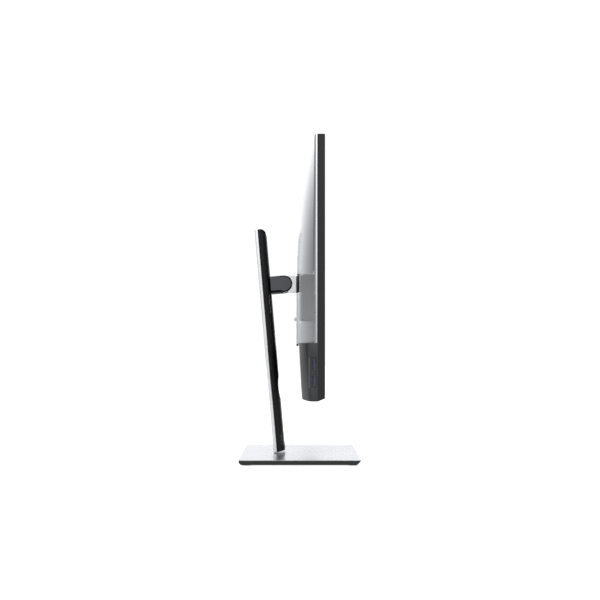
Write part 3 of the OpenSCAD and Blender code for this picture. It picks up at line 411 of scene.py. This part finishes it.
# painted shadow: the strip's colour goes dark in a soft band at each edge, for the shade in the seams
rim.set(Base_Color=(past_bezel * (1 - at_cover)).between(RIM_SEAM_SHADOW, RIM_TONE))
print("rim, millimetres deep:", round((rim_back - bezel_back) / MM, 2))

# %% [markdown]
# ## Rolled steel plate
# Sheet and plate that nobody sees still has its look: rolling leaves faint streaks along one direction. The
# same noise gives them once its space is squeezed along the sheet.

# %% rolled steel
ALONG_SHEET = (0.02, 1.0, 1.0)
rolled = Finish("rolled_steel", Metallic=1.0)
streak = rolled.noise(1.0, detail=3.0, where=rolled.place() * ALONG_SHEET)
patch = rolled.noise(25)
rolled.set(Base_Color=patch.between((0.42, 0.425, 0.44), (0.54, 0.545, 0.56)), Roughness=0.3 + streak * 0.16,
           Normal=rolled.bump(streak, 0.004))
print("streaks", round(1 / ALONG_SHEET[0]), "times as long as they are wide")

# %% [markdown]
# ## Screen
# An unlit display is a nearly black sheet behind an anti-glare film. The film's haze is a very fine bump,
# and the active area is a shade cooler than the black border that hides the wiring round it.

# %% screen glass
BORDER = 5.5 * MM
glass = Finish("screen_glass", IOR=1.5, Coat_Weight=0.35, Coat_Roughness=0.18)
cell_low, cell_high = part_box("lcd_cell")
middle, half = (cell_low + cell_high) / 2, (cell_high - cell_low) / 2
across, upward = glass.place().part("X"), glass.place().part("Z")
active = (abs(across - middle.x) < half.x - BORDER) * (abs(upward - middle.z) < half.z - BORDER)
haze = glass.noise(0.09, detail=1.0)
glass.set(Base_Color=active.between((0.004, 0.004, 0.0045), (0.010, 0.011, 0.0135)),
          Roughness=0.2 + haze * 0.06, Normal=glass.bump(haze, 0.0012))
print("active area, metres:", [round(2 * (side - BORDER), 4) for side in (half.x, half.z)])

# %% [markdown]
# ## Light guide and lens
# The light guide is milky acrylic and the power light a frosted lens. Real translucency would cost a long
# render for pieces that hardly show, so both are pale plastics whose tone and gloss drift softly.

# %% milky plastics
milk = Finish("milk_acrylic", IOR=1.49)
milk.set(Base_Color=milk.noise(20).between((0.80, 0.82, 0.85), (0.88, 0.90, 0.93)),
         Roughness=0.2 + milk.noise(3) * 0.1)
lens = Finish("frosted_lens", IOR=1.49)
lens.set(Base_Color=lens.noise(2).between((0.62, 0.64, 0.67), (0.75, 0.77, 0.8)),
         Roughness=0.3 + lens.noise(0.4) * 0.1)
print("milky plastics:", milk.material.name, lens.material.name)

# %% [markdown]
# ## Circuit boards
# A circuit board is a dark lacquer over copper tracks, which stand a few hundredths of a millimetre proud.
# Drawing real tracks would take an image. The mortar lines of a brick pattern, broken up by noise, give the
# same short straight runs.

# %% circuit boards
TRACK_STEP_MM, TRACK_STRETCH = 6.0, (1, 1, 1.7)


def board(name, mask, track):
    """A lacquered board of one tone, with tracks of another."""
    f = Finish(name, Coat_Weight=0.4, Coat_Roughness=0.15)
    lines = f.node("ShaderNodeTexBrick", {"offset": 0.5, "squash": 1.0}, out=1, Mortar_Size=0.035,
                   Mortar_Smooth=0.1, Vector=f.place() * TRACK_STRETCH, Scale=1 / (TRACK_STEP_MM * MM))
    tracks = (lines * (f.noise(5.0) > 0.5)).clamp()
    f.set(Base_Color=tracks.between(mask, track), Roughness=0.4 - tracks * 0.1, Normal=f.bump(tracks, 0.02))


board("board_green", (0.012, 0.09, 0.035), (0.03, 0.16, 0.06))
board("board_tan", (0.26, 0.17, 0.07), (0.34, 0.23, 0.10))
print("finishes:", len(finishes))

# %% [markdown]
# ## Rear shell
# The real cover is one moulding with a pillow-shaped crown: it rises fast from the rim and flattens towards
# the middle, so a reflection slides over it without a crease. A shallow band crosses it for the stand's hub.
# Its upper part is a channel with a flat floor, and its lower part a flank that climbs from a ledge by the
# rim to the crown; all three of its edges fall towards the sides. The construction model builds that crown
# from flat strips. A subdivided cage would round the band's edges by different amounts. A grid of points
# whose depth is worked out at each point gives the form without facets and every edge its own turn.

# %% measures of the shell, in millimetres
WALL, SEAM_GAP = 2.2, 1.1
CROWN_EDGE, CROWN_RUN_SIDE, CROWN_RUN_TOP, CROWN_POWER = 1.5, 110.0, 230.0, 2.6
ROLL_DEEP, ROLL_WIDE = 1.4, 2.2
BAND_LEDGE, BAND_SLOPE, BAND_EASE, CROWN_TURN = 16.5, 0.60, 0.0006, 2.6
LEDGE_DIP, DIP_RUN = 0.9, 4.0
BAND_FLAT, BAND_FALL, SIDE_PAST = 40.0, (4.0, 13.5, 16.0), 1
LOW_TURN, SPLIT_TURN, HIGH_TURN, FLOOR_TURN = 0.9, 2.0, 0.7, 0.3
FLOOR_SKIN, UNDER_BUTTON, UNDER_HUB, OVER_HUB, UNDER_BRACKET = 0.1, 5.2, 1.2, 0.4, 2

half_w, rim_mm, top_mm, seam_mm, crown_mm = (v / MM for v in (side_x, rim_back, panel_top, seam_z, crown_y))
bracket_low, bracket_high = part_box("mount_bracket")
hub_low, hub_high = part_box("pivot_hub")
button_low, button_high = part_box("release_button")
axis_mm, hub_mm = tilt_at.z / MM, (hub_high.x - hub_low.x) / 2 / MM
button_mid = (button_low.z + button_high.z) / 2 / MM
band_floor = bracket_high.y / MM + FLOOR_SKIN
band_edges_inside = button_mid - UNDER_BUTTON, axis_mm - hub_mm - UNDER_HUB, axis_mm + hub_mm + OVER_HUB
band_high = band_edges_inside[2]
print("band's edges", [round(z, 1) for z in band_edges_inside], "mm, floor at", round(band_floor, 2))

# %% [markdown]
# The depth is a sum of soft steps. An eased step fades one surface into the other over a turn's width, and a
# soft ramp joins two slopes with a rounded corner, so nothing in the sum has a crease.

# %% depth of the shell


def ease(value):
    value = min(1, max(0, value))
    return value * value * (3 - 2 * value)


def soft_ramp(value, turn=FLOOR_TURN):
    """0 below zero and the value above it, with the corner rounded over the turn."""
    return 0 if value < -turn else value if value > turn else (value + turn) ** 2 / (4 * turn)


def band_edges(x):
    """Heights of the band's lower edge, of the channel's lower edge and of the band's upper edge."""
    fall = max(0, (abs(x) - BAND_FLAT) / (half_w + SIDE_PAST - BAND_FLAT))
    return [z - down * fall for z, down in zip(band_edges_inside, BAND_FALL)]


def climb(past):
    """Height of the band's flank at a distance past its ledge."""
    past = soft_ramp(past)
    return BAND_SLOPE * past - BAND_EASE * past ** 2


def crown_depth(from_side, from_top):
    """Depth of the pillow, with its last millimetres rolled over towards the rim."""
    rise = (1 - (1 - min(from_side / CROWN_RUN_SIDE, 1)) ** CROWN_POWER) * (
        1 - (1 - min(from_top / CROWN_RUN_TOP, 1)) ** CROWN_POWER)
    edge = rim_mm + CROWN_EDGE
    return edge + (crown_mm - edge) * rise - ROLL_DEEP * (1 - min(min(from_side, from_top) / ROLL_WIDE, 1)) ** 2


def shell_depth(x, z):
    """Depth of the shell's outer face at a place."""
    from_side = half_w - abs(x)
    crown = crown_depth(from_side, top_mm - z)
    dip = LEDGE_DIP * ease((from_side - CROWN_EDGE) / DIP_RUN)
    line = rim_mm + CROWN_EDGE + climb(from_side - BAND_LEDGE) - dip
    flank = line - soft_ramp(line - crown, CROWN_TURN)
    channel = min(crown, band_floor - soft_ramp(band_floor - line))
    low, split, high = band_edges(x)
    above = ease((z - split) / SPLIT_TURN + 0.5)
    inside = ease((high - z) / HIGH_TURN + 0.5) * ease((z - low) / LOW_TURN + 0.5)
    return crown + (flank * (1 - above) + channel * above - crown) * inside


print("depth at the middle of the crown and of the channel:",
      [round(shell_depth(0, z), 2) for z in (band_high + 50, axis_mm)])

# %% [markdown]
# The lines of the grid are set closer where an edge has to turn tightly, and the rows follow the band's
# slanting edges, so that no quad ever straddles one.

# %% lines of the grid
RIM_STEPS = [0, 0.12, 0.3, 0.6, 0.9, 1.4]
AROUND = (-2, -1, -0.3, 0, 0.3, 1, 2)
EASE_STEPS = [i / 10 - 0.5 for i in range(11)]
FLOOR_START, INNER = 51.8, 120.0
LEDGE_LINES, SLOPE_LINES, CROWN_LINES, MIDDLE_LINES = 9, 22, 22, 28
ABOVE_ROWS, CHANNEL_ROWS, FLANK_ROWS, SEAM_ROWS, ROWS_CROWD = 44, 8, 12, 9, 1.2


def spread(first, last, count, power=1.0):
    """Places between two ends, without the ends, crowded towards the first by a power over 1."""
    return [first + (last - first) * (i / count) ** power for i in range(1, count)]


def rows_at(x):
    """Heights of the grid's rows at one column, from the top to the lip under the seam."""
    low, split, high = band_edges(x)
    rows = [top_mm - v for v in RIM_STEPS]
    turns = ((high, HIGH_TURN, ABOVE_ROWS, ROWS_CROWD), (split, SPLIT_TURN, CHANNEL_ROWS, 1),
             (low, LOW_TURN, FLANK_ROWS, 1))
    for turn_at, turn, count, power in turns:
        rows += spread(rows[-1], turn_at + turn / 2, count, power) + [turn_at - v * turn for v in EASE_STEPS]
    return rows + spread(rows[-1], seam_mm, SEAM_ROWS) + [seam_mm, seam_mm - SEAM_GAP, lip_low]


lip_low = shell_low.z / MM
side_steps = list(RIM_STEPS)
for turn_at, count in ((BAND_LEDGE, LEDGE_LINES), (FLOOR_START, SLOPE_LINES)):
    side_steps += spread(side_steps[-1], turn_at + AROUND[0], count) + [turn_at + v for v in AROUND]
side_steps += spread(side_steps[-1], INNER, CROWN_LINES) + [INNER] + spread(INNER, half_w, MIDDLE_LINES)
half_columns = [half_w - v for v in side_steps] + [0]
columns = [-x for x in half_columns] + half_columns[-2::-1]
wide, tall = len(columns), len(rows_at(0))
print("shell grid:", wide, "by", tall)

# %% [markdown]
# A cover is a closed wall and not a sheet, so the same grid is laid twice, once on the outer face and once a
# wall's thickness in front of it, and a strip along the border closes the two.

# %% skin of the shell
NEAR = 0.01


def face_grid(start, flip):
    """Quads between the points of a grid that is stored column by column."""
    quads = [(start + i * tall + j, start + (i + 1) * tall + j, start + (i + 1) * tall + j + 1,
              start + i * tall + j + 1) for i in range(wide - 1) for j in range(tall - 1)]
    return [q[::-1] for q in quads] if flip else quads


outer, inner = [], []
for x in columns:
    for z in rows_at(x):
        y = shell_depth(x, z)
        at_border = half_w - abs(x) < NEAR or top_mm - z < NEAR
        outer.append((x * MM, y * MM, z * MM))
        inner.append((x * MM, (rim_mm if at_border else max(y - WALL, rim_mm)) * MM, z * MM))
count = wide * tall
border = ([i * tall for i in range(wide)] + [(wide - 1) * tall + j for j in range(1, tall)]
          + [i * tall + tall - 1 for i in range(wide - 2, -1, -1)] + list(range(tall - 2, 0, -1)))
walls = [(a, b, b + count, a + count) for a, b in zip(border, border[1:] + border[:1])]
shell_mesh = bpy.data.meshes.new("rear_shell")
shell_mesh.from_pydata(outer + inner, [], face_grid(0, False) + face_grid(count, True) + walls)
print("points:", len(shell_mesh.vertices), "faces:", len(shell_mesh.polygons))

# %% [markdown]
# ### Openings
# The openings are cut from the closed shell: the bracket's recess, the release button's slot, the four wall
# mount wells, and everything in front of the lip that laps over the lower cover. Holes could be left in the
# grid, but its lines don't follow round outlines. Each cutter is a small closed mesh instead, and one exact
# difference takes them all.

# %% cutting tools


def arc(x, z, radius, angles):
    """Points round a centre, at angles in degrees."""
    return [(x + radius * math.cos(math.radians(a)), z + radius * math.sin(math.radians(a))) for a in angles]


def rounded(x0, x1, z0, z1, radius, steps=6):
    """Outline of a rectangle with round corners."""
    corners = ((x1 - radius, z1 - radius, 0), (x0 + radius, z1 - radius, 90), (x0 + radius, z0 + radius, 180),
               (x1 - radius, z0 + radius, 270))
    return [point for x, z, turned in corners
            for point in arc(x, z, radius, [turned + 90 * k / steps for k in range(steps + 1)])]


def prism(outline, front, behind):
    """A closed bmesh of an outline in millimetres, drawn out between two depths."""
    solid = bmesh.new()
    ends = [[solid.verts.new([v * MM for v in (x, y, z)]) for x, z in outline] for y in (front, behind)]
    solid.faces.new(ends[0])
    solid.faces.new(ends[1][::-1])
    for i in range(len(outline)):
        j = (i + 1) % len(outline)
        solid.faces.new((ends[0][j], ends[0][i], ends[1][i], ends[1][j]))
    bmesh.ops.recalc_face_normals(solid, faces=solid.faces)
    return solid


def gather(name, solids):
    """One mesh of several solids."""
    mesh = bpy.data.meshes.new(name)
    whole = bmesh.new()
    for solid in solids:
        solid.to_mesh(mesh)
        solid.free()
        whole.from_mesh(mesh)
    whole.to_mesh(mesh)
    whole.free()
    return mesh


def cut(mesh, cutter_mesh, name):
    """An object of the mesh less the cutter, worked out once and stored."""
    body, cutter = bpy.data.objects.new(name, mesh), bpy.data.objects.new(name + "_cutter", cutter_mesh)
    for item in (body, cutter):
        scene.collection.objects.link(item)
    carve = body.modifiers.new("carve", "BOOLEAN")
    carve.operation, carve.solver, carve.object = "DIFFERENCE", "EXACT", cutter
    bpy.context.view_layer.update()
    result = bpy.data.meshes.new_from_object(body.evaluated_get(bpy.context.evaluated_depsgraph_get()))
    body.modifiers.clear()
    body.data = result
    bpy.data.objects.remove(cutter)
    return body


print("a corner of five millimetres:", len(arc(0, 0, 5, range(0, 91, 15))), "points")

# %% [markdown]
# The cutters are placed from the pieces that fill the openings: the recess from the bracket, the slot from
# the release button, and the wells from the tilt axis. Each stands past the face it cuts, because two faces
# that lie in one plane give the difference nothing to decide by.

# %% cutters
PAST_EDGE, PAST_CROWN, BEFORE_RIM = 1, 2, 2
LIP_STEP = 0.8
RECESS_HALF, RECESS_OVER, RECESS_CORNER, RECESS_DEEP = 35, 0.2, 5, 6
SLOT_SIDE, SLOT_HALF, SLOT_CORNER, SLOT_DEEP = 1.65, 4.75, 0.6, 8
MOUNT_HALF, WELL_RADIUS, WELL_DEEP, WELL_SIDES = 50, 5.5, 12, 32

behind = crown_mm + PAST_CROWN
under_seam = [(-half_w - PAST_EDGE, lip_low - PAST_EDGE), (half_w + PAST_EDGE, lip_low - PAST_EDGE),
              (half_w + PAST_EDGE, seam_mm), (-half_w - PAST_EDGE, seam_mm)]
recess = rounded(-RECESS_HALF, RECESS_HALF, bracket_low.z / MM - UNDER_BRACKET, band_high + RECESS_OVER,
                 RECESS_CORNER)
slot = rounded(button_low.x / MM + SLOT_SIDE, button_high.x / MM - SLOT_SIDE, button_mid - SLOT_HALF,
               button_mid + SLOT_HALF, SLOT_CORNER)
cutters = [prism(under_seam, rim_mm - BEFORE_RIM, crown_mm - WALL - LIP_STEP),
           prism(recess, band_floor - RECESS_DEEP, behind), prism(slot, band_floor - SLOT_DEEP, behind)]
for x in (-MOUNT_HALF, MOUNT_HALF):
    for z in (-MOUNT_HALF, MOUNT_HALF):
        well = arc(x, axis_mm + z, WELL_RADIUS, [360 * k / WELL_SIDES for k in range(WELL_SIDES)])
        cutters.append(prism(well, crown_mm - WELL_DEEP, behind))
shell = cut(shell_mesh, gather("shell_cutters", cutters), "rear_shell")
print("openings:", len(cutters), "faces after the cut:", len(shell.data.polygons))

# %% [markdown]
# ### Finish of the shell
# The visible cover is silver. Its lip under the seam lies in shadow on the real cover, and a bright edge
# there would show as a line, so the faces below the gap get a dull black with no reflection: a painted shadow.

# %% finish of the shell
SHARP_FROM = 38
shell.data.materials.clear()
shell.data.materials.append(finishes["silver_paint"])
shell.data.materials.append(finishes["seam_painted_shadow"])
# faces below the gap take the painted shadow
for face in shell.data.polygons:
    face.material_index = int(face.center.z < (seam_mm - SEAM_GAP) * MM)
shell.data.shade_smooth()
shell.data.set_sharp_from_angle(angle=math.radians(SHARP_FROM))
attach(shell, "panel")
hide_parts("rear_cover")
print("dark faces of the lip:", sum(face.material_index for face in shell.data.polygons))

# %% [markdown]
# ## Which piece gets which finish
# The other pieces keep the construction model's shapes. One table, read like a parts list, says which finish
# each of them takes. The rear cover is in it as well, although the shell now stands for it.

# %% finishes of the construction pieces
DRESS = {
    "charcoal_bezel": ("front_bezel",),
    "charcoal_cover": ("io_plate", "cable_liner"),
    "charcoal_side": ("lower_cover",),
    "hub_black": ("mount_bracket", "pivot_hub"),
    "riser_black": ("riser_front_cover",),
    "arm_black": ("arm_core",),
    "arm_grey": ("arm_side_caps",),
    "tray_black": ("base_tray",),
    "acetal_white": ("swivel_bush", "slide_bushes"),
    "rubber_black": ("rubber_feet",),
    "usb_blue": ("usb_tongues",),
    "inlet_black": ("power_inlet",),
    "button_charcoal": ("power_button", "menu_button_1", "menu_button_2", "menu_button_3", "menu_button_4"),
    "silver_paint": ("rear_cover", "release_button", "latch_cover"),
    "blasted_aluminium": ("riser_back_cover",),
    "base_aluminium": ("base_top_skin",),
    "head_silver": ("tilt_head", "foot_pad"),
    "polished_rim": ("rim_trim",),
    "ground_steel": ("guide_rods", "carriage_block", "foot_casting", "pivot_nut", "swivel_retainer",
                     "rod_blocks"),
    "bright_steel": ("tilt_shaft", "swivel_spindle", "base_thumbscrew", "lift_spring_band", "lift_spring_roll",
                     "release_spring"),
    "blackened_steel": ("cover_screws", "base_screws", "riser_screws"),
    "tinned_shell": ("side_usb_ports", "data_ports", "video_ports", "board_shield"),
    "brass_washer": ("tilt_washers",),
    "rolled_steel": ("base_steel_plate", "riser_spine", "rear_chassis", "vesa_frame"),
    "screen_glass": ("lcd_cell",),
    "milk_acrylic": ("light_guide", "led_bar"),
    "frosted_lens": ("power_lens",),
    "board_green": ("main_board", "side_usb_board", "key_board"),
    "board_tan": ("power_board",),
}
finish_of = {name: finish for finish, names in DRESS.items() for name in names}
print("pieces in the table:", len(finish_of), "left out:", sorted(set(nodes) - set(finish_of)))

# %% [markdown]
# No real edge is a knife edge: a mould or a press leaves a small radius, and that radius is what catches a
# thin line of light. The widths below are the bevels of the pieces that show one, in millimetres.

# %% widths of the edges
EDGE_MM, EDGE_STEPS, EDGE_FROM, WELD_MM = 0.2, 2, 32, 0.002
EDGES = {
    1.0: ("riser_back_cover",),
    0.9: ("front_bezel",),
    0.6: ("lower_cover", "riser_front_cover", "tilt_head"),
    0.5: ("latch_cover",),
    0.4: ("base_tray", "arm_core", "foot_pad"),
    0.3: ("arm_side_caps", "release_button", "rubber_feet"),
    0.25: ("rim_trim", "base_top_skin"),
    0.12: ("side_usb_ports", "usb_tongues", "data_ports", "video_ports"),
    0.1: ("lcd_cell",),
}
edge_of = {name: width for width, names in EDGES.items() for name in names}
print("pieces with an edge of their own:", len(edge_of))

# %% [markdown]
# Editing each mesh would change the construction model, so the edges are modifiers: a weld joins the faces, a
# bevel rounds the edges, and weighted normals keep the flats flat. The lower cover's faces turn softly from
# one into the next, and weighted normals would put a crease there, so it goes without. The modifiers come
# last, so that the exact cut above doesn't work them out as well.

# %% dress the construction pieces
CURVED = ("lower_cover",)


def smooth(mesh):
    """Smooth shading without the stored normals, which would hide the bevels."""
    if "custom_normal" in mesh.attributes:
        mesh.attributes.remove(mesh.attributes["custom_normal"])
    mesh.shade_smooth()


def round_edges(piece, width_mm):
    """Weld, bevel and weighted normals, so that the edges catch the light and the flats stay flat."""
    weld = piece.modifiers.new("weld", "WELD")
    weld.merge_threshold = WELD_MM * MM
    bevel = piece.modifiers.new("edges", "BEVEL")
    bevel.limit_method, bevel.angle_limit = "ANGLE", math.radians(EDGE_FROM)
    bevel.width, bevel.segments = width_mm * MM, EDGE_STEPS
    bevel.use_clamp_overlap = True
    if piece.name not in CURVED:
        piece.modifiers.new("normals", "WEIGHTED_NORMAL").keep_sharp = True


for name, finish in finish_of.items():
    mesh = nodes[name].data
    mesh.materials.clear()
    mesh.materials.append(finishes[finish])
    smooth(mesh)
    round_edges(nodes[name], edge_of.get(name, EDGE_MM))
print("dressed:", len(finish_of))
